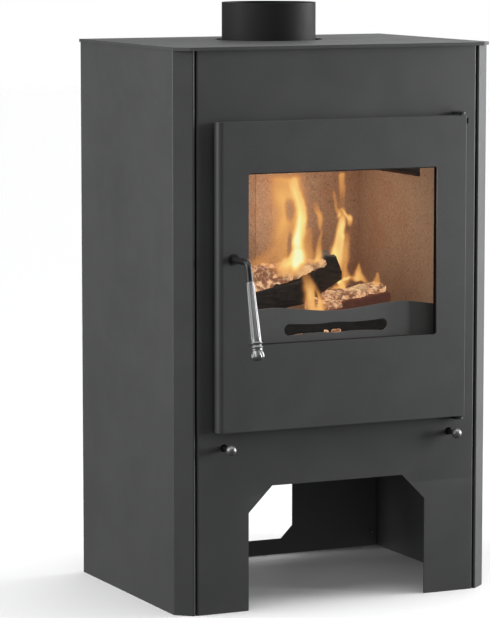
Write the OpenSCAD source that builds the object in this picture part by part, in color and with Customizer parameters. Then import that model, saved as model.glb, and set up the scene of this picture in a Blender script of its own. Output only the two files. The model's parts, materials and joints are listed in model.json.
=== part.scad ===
// Free-standing wood burning stove with a log store.
// Millimetres. Z = 0 is the floor, X = 0 is the middle plane, and -Y is the front.
// Inside from_front() a Y value is the distance behind the front plane, which lies 1 mm
// behind the top plate's front edge.

/* [Casing] */
// Width over the two side panels
body_w = 540; // [530:1:560]
// Depth from the front plane to the casing's back
body_d = 388; // [386:1:400]
// Height of the top plate's upper face
body_h = 868; // [862:1:890]
// Width of the slanted front corners
corner_w = 27.5; // [26:0.5:28]
// Distance of their rear fold behind the front plane
corner_cut = 23.2; // [18:0.1:28]
// Thickness of the casing sheet
sheet = 2; // [1.5:0.5:2]
// Thickness of the top plate
top_t = 5; // [4:0.5:6]
// Half of the front panel's width
panel_half = 239.5; // [239:0.1:240]
// How far the front panel lies behind the front plane
panel_recess = 2; // [1.5:0.1:3]

/* [Log store] */
// Half of the front arch's width
arch_half = 153; // [140:1:160]
// Height of the front arch
arch_top = 193; // [180:1:194]
// Size of the arch's slanted corners
arch_cut = 40; // [20:1:45]
// Height of the log store's ceiling plate, underside
ceiling_z = 197; // [197:1:199]

/* [Flue] */
// Outer diameter of the flue collar
flue_d = 150; // [148:1:151]
// Height of the flue collar above the top plate
flue_rise = 59; // [50:1:70]
// Distance of the flue's axis behind the front plane
flue_y = 252.5; // [248:0.5:253]

/* [Door] */
// Half of the door's width
door_half = 213; // [213:0.5:214]
// Height of the door's lower edge
door_bottom = 283; // [282:0.5:284]
// Height of the door's upper edge
door_top = 755.5; // [755:0.5:756]
// How far the door's face stands in front of the front plane
door_proud = 17; // [16.5:0.5:18]
// Half of the window's width
window_half = 162; // [155:1:163]
// Height of the window's lower edge
window_bottom = 415; // [412:1:420]
// Height of the window's upper edge
window_top = 677.5; // [670:0.5:680]

/* [Handle and controls] */
// Distance of the handle's spindle left of the middle plane
spindle_x = 187; // [187:0.5:187.5]
// Height of the handle's spindle
spindle_z = 548; // [545:1:551]
// Lean of the hanging grip away from the door
grip_lean = 14; // [10:1:16]
// Distance of each air rod from the middle plane
air_x = 195; // [190:1:196]
// Height of the air rods
air_z = 257; // [257:0.5:257.5]
// Travel of each air rod
air_travel = 25; // [15:1:30]

/* [Hidden] */
$fn = 64;

plate = 4;                                // firebox plate
overhang = 1;                             // of the top plate past the casing
gap = 0.3;                                // between parts that move past each other
run = 0.05;                               // radial clearance of a shaft in its bore
side_x = body_w / 2;
case_top = body_h - top_t;
face_y = panel_recess;                    // front panel, front face
frame_y = face_y + sheet;                 // firebox front, front face
box_y = frame_y + 5;                      // firebox walls start here
box_half = 217;                           // firebox, outside
box_back = 334;
box_low = 272;
box_high = 811;
ring_t = 4;                               // welding ring under the flue collar
lining_half = 188;                        // between the side bricks
brick = 25;
shelf_z = 372;
bed_z = shelf_z + plate;                  // bricks stand here
brick_front = 24;
brick_back = 300;
brick_top = 653;
mouth_half = 188;                         // firebox mouth
mouth_low = 314;
mouth_high = 724;
door_y = -door_proud;                     // door, front face
door_back_y = -3;
door_sheet = 3;
seal_half = 206;                          // rope seal, outside
seal_low = 300;
seal_high = 738;
seal_w = 10;
hinge_x = door_half - 7;
hinge_y = -9.5;
hinge_r = 3;
spindle_r = 5;
knob_y = -25;                             // centre of each ball knob
valve_back = 140;                         // air boxes, back and front
valve_y = valve_back - air_travel - 55;
pan_z = 316.3;                            // ash pan, underside

// Handle: the rod runs forwards to its bend, and the grip hangs from the bend.
rod_reach = 51;                           // bend corner in front of the door's face
bend_r = 12;
bend_y = door_y - rod_reach;
grip_start = 29;                          // along the hanging leg
grip_len = 104;
cap_r = 10;
cap_at = grip_start + grip_len + 9;       // widest place of the cap
front_reach = bend_y - cap_at * sin(grip_lean) - cap_r * cos(grip_lean);
back_reach = body_d + overhang;
// Moves the whole stove so that its bounding box is centred on the origin.
front_y = -(front_reach + back_reach) / 2;

paint = "#3f4042";
dark_steel = "#2b2b2c";
firebrick = "#b48a66";
chrome = "#c8c9cc";
zinc = "#9a9c9f";
rope = "#8f8c86";

// ---------- Helpers ----------

module from_front() {
    translate([0, front_y, 0]) children();
}

// A box between two corners.
module block(low, high) {
    translate(low) cube(high - low);
}

// Both the right-hand piece and its mirror image.
module both_sides() {
    for (side = [0, 1]) mirror([side, 0, 0]) children();
}

function unit(v) = v / norm(v);

// Points of a round bend of radius r at corner b of the path a-b-c.
function bend(a, b, c, r, steps) =
    let (u = unit(a - b), v = unit(c - b), half = acos(u * v) / 2)
    let (centre = b + unit(u + v) * r / sin(half), reach = r / tan(half))
    let (p = b + u * reach - centre, q = b + v * reach - centre)
    let (start = atan2(p[1], p[0]), end = atan2(q[1], q[0]))
    let (sweep = (end - start + 540) % 360 - 180)
    [for (i = [0:steps]) centre + r * [cos(start + sweep * i / steps),
                                       sin(start + sweep * i / steps)]];

// An open path with a round bend of radii[i] at each inner corner.
function bent_path(pts, radii, steps = 6) = concat(
    [pts[0]],
    [for (i = [1:len(pts) - 2]) each bend(pts[i - 1], pts[i], pts[i + 1], radii[i - 1], steps)],
    [pts[len(pts) - 1]]);

// The path moved sideways by d, to the left of its direction.
function beside(path, d) =
    [for (i = [0:len(path) - 1])
        let (n = len(path) - 1)
        let (u = i == 0 ? unit(path[1] - path[0]) : unit(path[i] - path[i - 1]))
        let (v = i == n ? u : unit(path[i + 1] - path[i]))
        let (m = unit(u + v))
        path[i] + [-m[1], m[0]] * d / (m * u)];

function backwards(list) = [for (i = [len(list) - 1:-1:0]) list[i]];

// Folded sheet of thickness t: pts is its outer face, and the sheet is on the left for t > 0.
module folded(pts, radii, t, height, steps = 6) {
    path = bent_path(pts, radii, steps);
    linear_extrude(height) polygon(concat(path, backwards(beside(path, t))));
}

// A closed outline with every corner rounded.
module rounded(w, h, r) {
    square([w - 2 * r, h], center = true);
    square([w, h - 2 * r], center = true);
    for (x = [-1, 1], z = [-1, 1]) translate([x * (w / 2 - r), z * (h / 2 - r)]) circle(r);
}

// Turns a drawing in X and Z into a plate from y to y + t.
module upright(y, t) {
    translate([0, y + t, 0]) rotate([90, 0, 0]) linear_extrude(t) children();
}

// A rectangle from its half width and its low and high edges.
module field(half, low, high, r = 0) {
    translate([0, (low + high) / 2]) {
        if (r > 0) rounded(2 * half, high - low, r);
        else square([2 * half, high - low], center = true);
    }
}

// Shaft or hole along Y, from y0 to y1.
module along_y(x, z, r, y0, y1) {
    translate([x, y1, z]) rotate([90, 0, 0]) cylinder(r = r, h = y1 - y0);
}

// ---------- Casing ----------

// Side sheet: rear flange, side, slanted front corner and a return beside the front panel.
module side_sheet() {
    tip = side_x - corner_w;
    folded([[side_x - 20, body_d], [side_x, body_d], [side_x, corner_cut], [tip, -1], [tip, 24]],
           [2.5, 2.5, 2.5], -sheet, case_top);
}

module left_side_panel() color(paint) from_front() mirror([1, 0, 0]) side_sheet_drilled();
module right_side_panel() color(paint) from_front() side_sheet_drilled();

module side_sheet_drilled() {
    difference() {
        side_sheet();
        rear_screw_places(side_x - 14) along_y(0, 0, 2.2, body_d - 4, body_d + 1);
    }
}

// Places of the rear panel's screws along one edge.
module rear_screw_places(x) {
    for (z = [24, 230, 436, 642, 840]) translate([x, 0, z]) children();
}

// Front sheet with the door cut-out, the log store arch and the air rod holes.
module front_panel() color(paint) from_front() {
    difference() {
        folded([[-panel_half, 22], [-panel_half, face_y], [panel_half, face_y], [panel_half, 22]],
               [2.1, 2.1], sheet, case_top);
        upright(face_y - 1, sheet + 2) {
            field(seal_half + 2, seal_low - 6, seal_high + 6);
            arch_outline();
            hinge_slot();
        }
        for (x = [-air_x, air_x]) along_y(x, air_z, 6, face_y - 1, frame_y + 1);
    }
}

module arch_outline() {
    polygon([[-arch_half, -1], [-arch_half, arch_top - arch_cut],
             [-arch_half + arch_cut, arch_top], [arch_half - arch_cut, arch_top],
             [arch_half, arch_top - arch_cut], [arch_half, -1]]);
}

// Slot beside the door's upper hinge.
module hinge_slot() {
    x = door_half + 11.5;
    for (z = [743, 748.5]) translate([x, z]) circle(2);
    translate([x - 2, 743]) square([4, 5.5]);
}

// Rear sheet, inside the rear flanges, with the log store's rear opening.
module rear_panel() color(paint) from_front() {
    y = body_d - 2 * sheet;
    difference() {
        upright(y, sheet) {
            difference() {
                field(side_x - sheet - 1, 0, case_top);
                rear_opening();
            }
        }
        both_sides() rear_screw_places(side_x - 14) along_y(0, 0, 2.2, y - 1, body_d);
    }
}

module rear_opening() {
    half = 108;
    low = 26;
    high = 176;
    cut = 21;
    polygon([[-half, low + cut], [-half + cut, low], [half - cut, low], [half, low + cut],
             [half, high - cut], [half - cut, high], [cut - half, high], [-half, high - cut]]);
}

module rear_panel_screws() color(zinc) from_front() {
    both_sides() rear_screw_places(side_x - 14) {
        along_y(0, 0, 2.2, body_d - 8, body_d);
        difference() {
            along_y(0, 0, 4.2, body_d, body_d + 0.9);
            along_y(0, 0, 1.2, body_d + 0.3, body_d + 1.5);
        }
    }
}

module top_plate() color(paint) from_front() {
    x = side_x + overhang;
    cut = corner_cut - 4.7;
    difference() {
        translate([0, 0, case_top]) linear_extrude(top_t)
            polygon([[-x, back_reach], [-x, cut - overhang], [cut - x, -overhang],
                     [x - cut, -overhang], [x, cut - overhang], [x, back_reach]]);
        translate([0, flue_y, case_top - 1]) cylinder(r = flue_d / 2 + 10.5, h = top_t + 2, $fn = 96);
    }
}

module log_store_ceiling() color(dark_steel) from_front() {
    block([-236, frame_y, ceiling_z], [236, body_d - 2 * sheet, ceiling_z + 3]);
}

// Angles that carry the ceiling plate on the side panels.
module ceiling_brackets() color(dark_steel) from_front() {
    wall = side_x - sheet;
    both_sides() difference() {
        translate([0, 370, ceiling_z - 3]) rotate([90, 0, 0])
            folded([[226, 0], [wall, 0], [wall, 34]], [3.5], 3, 340);
        bracket_screw_places() rotate([0, 90, 0]) cylinder(r = 3, h = 20, center = true);
    }
}

module bracket_screw_places() {
    for (y = [60, 200, 340]) translate([side_x - sheet - 1.5, y, ceiling_z + 18]) children();
}

module bracket_screws() color(zinc) from_front() {
    both_sides() bracket_screw_places() {
        translate([-1.5, 0, 0]) rotate([0, 90, 0]) cylinder(r = 3, h = 3);
        translate([-5.5, 0, 0]) rotate([0, 90, 0]) cylinder(r = 5.5, h = 4, $fn = 6);
    }
}

// ---------- Firebox body ----------

module firebox_front() color(dark_steel) from_front() {
    upright(frame_y, 5) difference() {
        field(230, box_low - 5, box_high);
        field(mouth_half, mouth_low, mouth_high);
        latch_notch();
    }
}

// Notch that lets the latch tongue turn and leave with the door.
module latch_notch() {
    translate([-mouth_half - 13, spindle_z - 12]) square([14, 46]);
}

module side_wall() {
    block([box_half - plate, box_y, box_low + plate], [box_half, box_back - plate, box_high - 5]);
}

module firebox_left_wall() color(dark_steel) from_front() mirror([1, 0, 0]) side_wall();

module firebox_right_wall() color(dark_steel) from_front() difference() {
    side_wall();
    block([box_half - 5, 23, 741], [box_half + 1, 42, 755]);
}

module firebox_back_wall() color(dark_steel) from_front() {
    block([-box_half, box_back - plate, box_low + plate], [box_half, box_back, box_high - 5]);
}

module firebox_floor() color(dark_steel) from_front() difference() {
    block([-box_half, box_y, box_low], [box_half, box_back, box_low + plate]);
    block([-208, 70, box_low - 1], [-180, 130, box_low + plate + 1]);
}

module firebox_top() color(dark_steel) from_front() difference() {
    block([-box_half, box_y, box_high - 5], [box_half, box_back, box_high]);
    translate([0, flue_y, box_high - 6]) cylinder(r = flue_d / 2 - sheet, h = 7, $fn = 96);
}

// Rolled collar, standing on the welding ring.
module flue_collar() color(paint) from_front() translate([0, flue_y, box_high + ring_t]) {
    height = body_h + flue_rise - box_high - ring_t;
    rotate_extrude($fn = 96) translate([flue_d / 2 - sheet, 0]) square([sheet, height]);
}

module flue_flange() color(paint) from_front() translate([0, flue_y, box_high]) {
    rotate_extrude($fn = 96) translate([flue_d / 2 - sheet, 0]) square([20, ring_t]);
}

// Channel between the ceiling plate and the firebox floor.
module support_rail() {
    translate([0, 340, ceiling_z + 3]) rotate([90, 0, 0])
        folded([[160, 0], [130, 0], [130, box_low - ceiling_z - 3],
                [160, box_low - ceiling_z - 3]], [4, 4], -3, 310);
}

module left_support_rail() color(dark_steel) from_front() mirror([1, 0, 0]) support_rail();
module right_support_rail() color(dark_steel) from_front() support_rail();

// ---------- Lining and fire bed ----------

// Side brick with a taller tongue at its front end.
module side_brick() {
    tongue = 89;
    translate([lining_half, 0, 0]) rotate([90, 0, 90]) linear_extrude(brick)
        polygon([[brick_front, bed_z], [brick_back, bed_z], [brick_back, brick_top],
                 [tongue, brick_top], [tongue, 690], [brick_front, 690]]);
}

module left_side_brick() color(firebrick) from_front() mirror([1, 0, 0]) side_brick();
module right_side_brick() color(firebrick) from_front() side_brick();

module back_brick() {
    block([0.25, brick_back, bed_z], [box_half - plate, brick_back + brick, brick_top]);
}

module left_back_brick() color(firebrick) from_front() mirror([1, 0, 0]) back_brick();
module right_back_brick() color(firebrick) from_front() back_brick();

module floor_brick() {
    block([100.5, 34, bed_z], [lining_half, brick_back, bed_z + brick]);
}

module left_floor_brick() color(firebrick) from_front() mirror([1, 0, 0]) floor_brick();
module right_floor_brick() color(firebrick) from_front() floor_brick();

module rear_floor_brick() color(firebrick) from_front() {
    block([-100, 260.5, bed_z], [100, brick_back, bed_z + brick]);
}

// Plate that carries the bricks and the grate.
module hearth_shelf() color(dark_steel) from_front() difference() {
    block([plate - box_half, box_y, shelf_z], [box_half - plate, box_back - plate, bed_z]);
    block([-90, 46, shelf_z - 1], [90, 248, bed_z + 1]);
}

module grate() color(dark_steel) from_front() {
    slot_w = 9;
    pitch = 19;
    difference() {
        block([-100, 34, bed_z], [100, 260, bed_z + 12]);
        for (i = [-4:4], y = [50, 152])
            translate([i * pitch - slot_w / 2, y, bed_z - 1]) cube([slot_w, 92, 14]);
    }
}

// Everything that lies in the slanting plane of the baffle.
module baffle_plane() {
    translate([0, 324, brick_top + 3]) rotate([-grip_lean, 0, 0]) children();
}

module baffle_plate() color(firebrick) from_front() baffle_plane() {
    translate([-211, -188, 0]) cube([422, 188, 20]);
}

module baffle_rests() color(dark_steel) from_front() baffle_plane() {
    both_sides() translate([199, -180, -3]) cube([14, 175, 3]);
}

// Folded plate across the mouth with a dipped top edge and a waisted air slot.
module log_guard() color(paint) from_front() difference() {
    translate([-171, 0, bed_z]) rotate([90, 0, 90])
        folded([[32, 0], [box_y, 0], [box_y, 120]], [3.5], -3, 342);
    upright(box_y - 1, 5) {
        guard_top_cut();
        waisted_slot();
    }
}

// Height of the guard's top edge at distance x: low in the middle, highest at the ears.
function guard_edge(x) = 462.5 - 4.5 * cos(x * 180 / 115) - (abs(x) > 115 ? (abs(x) - 115) * 0.05 : 0);

module guard_top_cut() {
    edge = [for (x = [-172:8:172]) [x, guard_edge(x)]];
    polygon(concat([[-172, 500]], edge, [[172, 500]]));
}

// Half height of the air slot at distance x: round lobes at the ends, a swelling in the middle.
function slot_half(x) = 6.8 + 2.8 * pow(abs(x) / 83, 3) + 1.8 * exp(-x * x / 300);

module waisted_slot() {
    half = 80;
    z = 432;
    steps = [for (x = [-half:5:half]) x];
    upper = [for (x = steps) [x, z + slot_half(x)]];
    lower = [for (x = backwards(steps)) [x, z - slot_half(x)]];
    polygon(concat(upper, lower));
    for (x = [-half, half]) translate([x, z]) circle(slot_half(half), $fn = 32);
}

// ---------- Air supply ----------

// Open-topped box under the firebox floor: a rod bore in front, the air inlet behind.
module air_box() {
    difference() {
        block([172, valve_y, 230], [235, valve_back, box_low]);
        block([174, valve_y + 2, 232], [233, valve_back - 2, box_low + 1]);
        along_y(air_x, air_z, 4 + run, valve_y - 1, valve_y + 3);
        along_y(air_x, air_z, 12, valve_back - 3, valve_back + 1);
    }
}

module primary_air_box() color(dark_steel) from_front() mirror([1, 0, 0]) air_box();
module secondary_air_box() color(dark_steel) from_front() air_box();

// Flat duct that takes the secondary air up beside the firebox.
module airwash_riser() color(dark_steel) from_front() difference() {
    block([box_half, 20, box_low], [box_half + 18, 110, 764]);
    block([box_half + 2, 22, box_low + 6], [box_half + 16, 108, 762]);
    block([box_half + 2, 64, box_low - 1], [box_half + 16, 106, box_low + 8]);
    block([box_half - 1, 23, 741], [box_half + 3, 42, 755]);
}

// Folded channel over the mouth that lets the air down over the glass.
module airwash_bar() color(dark_steel) from_front() {
    half = box_half - plate;
    translate([-half, 0, 0]) rotate([90, 0, 90])
        folded([[box_y, 766], [50, 766], [50, 732], [16, 732]], [4, 4], -2, 2 * half);
}

module air_rod(side) {
    along_y(side * air_x, air_z, 4, knob_y, valve_back - 2.4);
}

// Ball with a blind bore behind, where the rod ends.
module ball_knob(side) {
    translate([side * air_x, knob_y, air_z]) rotate([-90, 0, 0]) rotate_extrude() difference() {
        intersection() {
            circle(8);
            translate([0, -8]) square([8, 16]);
        }
        square([4, 9]);
    }
}

module damper(side) {
    difference() {
        along_y(side * air_x, air_z, 14.5, valve_back - 4.4, valve_back - 2.4);
        along_y(side * air_x, air_z, 4, valve_back - 5, valve_back - 2);
    }
}

module primary_rod() color(dark_steel) from_front() air_rod(-1);
module primary_knob() color(chrome) from_front() ball_knob(-1);
module primary_damper() color(zinc) from_front() damper(-1);
module secondary_rod() color(dark_steel) from_front() air_rod(1);
module secondary_knob() color(chrome) from_front() ball_knob(1);
module secondary_damper() color(zinc) from_front() damper(1);

// ---------- Ash ----------

module ash_pan() color(dark_steel) from_front() difference() {
    block([-112, 44, pan_z], [112, 262, pan_z + 50]);
    block([-110.5, 45.5, pan_z + 1.5], [110.5, 260.5, pan_z + 51]);
    translate([0, 47, pan_z + 32]) rotate([90, 0, 0]) linear_extrude(5) rounded(90, 16, 7.9);
}

// Channels that carry the ash pan at the mouth's height, and angles beside it.
module ash_pan_runners() color(dark_steel) from_front() {
    low = box_low + plate;
    rise = pan_z - gap - low;
    both_sides() translate([0, 280, low]) rotate([90, 0, 0]) {
        folded([[88, 0], [88, rise], [108, rise], [108, 0]], [4, 4], -2.5, 250);
        folded([[136, 0], [113, 0], [113, rise + 20]], [3.5], -2.5, 250);
    }
}

// ---------- Door ----------

// The door pan's plan, shrunk by d: rolled on the handle side, tight on the hinge side.
module pan_plan(d) {
    back = door_back_y + d;
    polygon(bent_path(
        [[-door_half + d, back], [-door_half + d, door_y + d],
         [door_half - d, door_y + d], [door_half - d, back]], [9 - d, d == 0 ? 0.8 : 0.2], 8));
}

module door_panel() color(paint) from_front() difference() {
    translate([0, 0, door_bottom]) linear_extrude(door_top - door_bottom) pan_plan(0);
    translate([0, 0, door_bottom + door_sheet])
        linear_extrude(door_top - door_bottom - 2 * door_sheet) pan_plan(door_sheet);
    upright(door_y - 1, door_sheet + 2) field(window_half, window_bottom, window_top, 4.5);
    along_y(-spindle_x, spindle_z, 6.5, door_y - 1, door_y + door_sheet + 1);
    for (z = [door_bottom - 1, door_top - door_sheet - 1])
        translate([hinge_x, hinge_y, z]) cylinder(r = hinge_r + 0.5, h = door_sheet + 2);
}

// A flat frame, w wide, measured inwards from its outer edges.
module frame_ring(half, low, high, w, r = 0) {
    difference() {
        field(half, low, high, r);
        field(half - w, low + w, high - w);
    }
}

// Channel that holds the rope seal; its inner wall is welded to the pan.
module seal_channel() color(dark_steel) from_front() {
    upright(-6, 2) frame_ring(seal_half + 2, seal_low - 2, seal_high + 2, seal_w + 4);
    upright(-6, 6) frame_ring(seal_half + 2, seal_low - 2, seal_high + 2, 2);
    upright(-14, 14) frame_ring(seal_half - seal_w, seal_low + seal_w, seal_high - seal_w, 2);
}

module rope_seal() color(rope) from_front() {
    upright(-4, frame_y - gap + 4) frame_ring(seal_half, seal_low, seal_high, seal_w);
}

module door_glass() color("#30303080") from_front() {
    upright(-12, 4) field(window_half + 10, window_bottom - 10, window_top + 10, 4);
}

module glass_gasket() color(rope) from_front() {
    upright(-14, 2) frame_ring(window_half + 10, window_bottom - 10, window_top + 10, 8);
}

module clip_places() {
    both_sides() for (z = [450, 642]) translate([0, 0, z]) children();
}

// Z-shaped spring clips that press the glass on its gasket.
module glass_clips() color(zinc) from_front() clip_places() difference() {
    translate([0, 0, -9])
        folded([[190, -14], [174.5, -14], [174.5, -8], [166, -8]], [1.8, 0.3], -1.6, 18);
    along_y(183.5, 0, 2.5, -15, -10);
}

module glass_screws() color(zinc) from_front() clip_places() {
    along_y(183.5, 0, 2.5, -14, -12.4);
    along_y(183.5, 0, 4.5, -12.4, -9.8);
}

// ---------- Hinges ----------

module hinge_heights() {
    for (z = [door_top - door_sheet - 12, door_bottom + door_sheet]) translate([0, 0, z]) children();
}

module hinge_blocks() color(dark_steel) from_front() hinge_heights() difference() {
    block([201, -14, 0], [210, -4, 12]);
    translate([hinge_x, hinge_y, -1]) cylinder(r = hinge_r + run, h = 14);
}

// Lugs welded to the casing above and below the door.
module hinge_lugs() color(paint) from_front() {
    for (z = [door_top + 1.5, door_bottom - 5.5]) translate([hinge_x, hinge_y, z]) difference() {
        union() {
            cylinder(r = 8, h = 4);
            translate([-8, 0, 0]) cube([16, face_y - hinge_y, 4]);
        }
        translate([0, 0, -1]) cylinder(r = hinge_r, h = 6);
    }
}

module hinge_pins() color(zinc) from_front() translate([hinge_x, hinge_y, 0]) {
    translate([0, 0, door_top - 14]) cylinder(r = hinge_r, h = 19.5);
    translate([0, 0, door_bottom - 5.5]) cylinder(r = hinge_r, h = 19.5);
}

// ---------- Handle ----------

module handle_bush() color(dark_steel) from_front() difference() {
    union() {
        along_y(-spindle_x, spindle_z, 6.5, door_y, -1);
        along_y(-spindle_x, spindle_z, 8.5, door_y - 1.5, door_y);
    }
    along_y(-spindle_x, spindle_z, spindle_r + run, door_y - 2, 0);
}

// Frame of the hanging leg: +Z runs down it from the bend's corner.
module hanging_leg() {
    translate([-spindle_x, bend_y, spindle_z]) rotate([180 - grip_lean, 0, 0]) children();
}

// Spindle, bend and hanging leg in one round bar.
module handle_rod() color(dark_steel) from_front() {
    turn = 90 - grip_lean;
    reach = bend_r * tan(turn / 2);
    overlap = 1;
    along_y(-spindle_x, spindle_z, spindle_r, bend_y + reach - overlap, 20);
    hanging_leg() translate([0, 0, reach - overlap])
        cylinder(r = spindle_r, h = grip_start - reach + overlap + 14);
    // forged a tenth thicker than the rod where it bends
    translate([-spindle_x, bend_y + reach, spindle_z - bend_r]) rotate([90, 0, 90])
        rotate([0, 0, 90]) rotate_extrude(angle = turn, $fn = 96)
            translate([bend_r, 0]) circle(spindle_r + 0.1);
}

module handle_grip() color(chrome) from_front() hanging_leg() translate([0, 0, grip_start]) {
    difference() {
        union() {
            cylinder(r1 = 5.7, r2 = 8, h = grip_len - 12);
            translate([0, 0, grip_len - 12]) cylinder(r = 8, h = 12);
            for (z = [grip_len - 12, grip_len - 5]) translate([0, 0, z]) bead(8, 1.3);
        }
        translate([0, 0, -1]) cylinder(r = spindle_r, h = 15);
    }
}

// Round ring bead on a round bar of radius r.
module bead(r, half) {
    rotate_extrude() intersection() {
        translate([r, 0]) circle(half, $fn = 24);
        translate([r - 1, -half]) square([1 + half, 2 * half]);
    }
}

module grip_cap() color(chrome) from_front() hanging_leg() translate([0, 0, grip_start + grip_len]) {
    cylinder(r1 = 8, r2 = cap_r, h = 9);
    translate([0, 0, 9]) cylinder(r1 = cap_r, r2 = 2.5, h = 6);
}

// Tongue on the spindle's inner end; it points at the keeper edge when the handle hangs.
module latch_tongue() color(zinc) from_front() translate([-spindle_x, 0, spindle_z]) difference() {
    union() {
        along_y(0, 0, 8.5, 10.5, 14.5);
        block([-12.2, 10.5, -6], [0, 14.5, 6]);
    }
    along_y(0, 0, spindle_r, 10, 15);
}

module latch_nut() color(zinc) from_front() difference() {
    translate([-spindle_x, 20, spindle_z]) rotate([90, 0, 0]) cylinder(r = 9, h = 5.5, $fn = 6);
    along_y(-spindle_x, spindle_z, spindle_r, 14, 21);
}

left_side_panel();
right_side_panel();
front_panel();
rear_panel();
top_plate();
log_store_ceiling();
ceiling_brackets();
bracket_screws();
rear_panel_screws();
firebox_front();
firebox_left_wall();
firebox_right_wall();
firebox_back_wall();
firebox_floor();
firebox_top();
left_support_rail();
right_support_rail();
flue_flange();
flue_collar();
left_side_brick();
right_side_brick();
left_back_brick();
right_back_brick();
left_floor_brick();
right_floor_brick();
rear_floor_brick();
hearth_shelf();
grate();
baffle_plate();
baffle_rests();
log_guard();
primary_air_box();
secondary_air_box();
airwash_riser();
airwash_bar();
primary_rod();
primary_knob();
primary_damper();
secondary_rod();
secondary_knob();
secondary_damper();
ash_pan();
ash_pan_runners();
door_panel();
seal_channel();
rope_seal();
door_glass();
glass_gasket();
glass_clips();
glass_screws();
hinge_blocks();
hinge_lugs();
hinge_pins();
handle_bush();
handle_rod();
handle_grip();
grip_cap();
latch_tongue();
latch_nut();
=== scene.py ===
"""Looks of the wood burning stove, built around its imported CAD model."""

import json
import math

import bpy
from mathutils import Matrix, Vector, noise


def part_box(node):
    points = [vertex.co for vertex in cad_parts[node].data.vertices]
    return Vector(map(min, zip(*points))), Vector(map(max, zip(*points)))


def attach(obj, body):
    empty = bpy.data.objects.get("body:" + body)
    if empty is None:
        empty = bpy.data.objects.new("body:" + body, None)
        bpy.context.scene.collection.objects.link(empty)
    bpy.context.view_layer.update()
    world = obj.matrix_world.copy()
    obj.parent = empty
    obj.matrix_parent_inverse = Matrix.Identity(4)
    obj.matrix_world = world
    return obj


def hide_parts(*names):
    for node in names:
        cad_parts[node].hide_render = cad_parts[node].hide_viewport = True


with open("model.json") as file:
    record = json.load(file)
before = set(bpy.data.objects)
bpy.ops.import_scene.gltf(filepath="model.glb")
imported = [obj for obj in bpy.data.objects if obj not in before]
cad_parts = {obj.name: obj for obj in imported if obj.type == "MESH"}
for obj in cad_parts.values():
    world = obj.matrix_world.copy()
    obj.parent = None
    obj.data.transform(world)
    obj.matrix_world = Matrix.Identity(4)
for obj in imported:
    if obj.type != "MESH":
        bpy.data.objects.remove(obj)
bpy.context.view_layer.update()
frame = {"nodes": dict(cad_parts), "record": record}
nodes = frame["nodes"]

MM = 0.001


# ---------- Camera ----------

# Place in metres, turn and tilt in degrees, and lens in millimetres.
CAMERA_PLACE = (-2.236, -4.5575, 1.069)
CAMERA_YAW = 25.16
CAMERA_PITCH = 7.0
CAMERA_LENS = 188.2


def make_camera():
    data = bpy.data.cameras.new("camera")
    data.lens = CAMERA_LENS
    data.sensor_width = 36.0
    data.clip_start = 0.05
    data.clip_end = 60.0
    camera = bpy.data.objects.new("camera", data)
    camera.location = CAMERA_PLACE
    camera.rotation_euler = (math.radians(90 - CAMERA_PITCH), 0, math.radians(-CAMERA_YAW))
    bpy.context.scene.collection.objects.link(camera)
    bpy.context.scene.camera = camera


# ---------- Materials ----------

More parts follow.
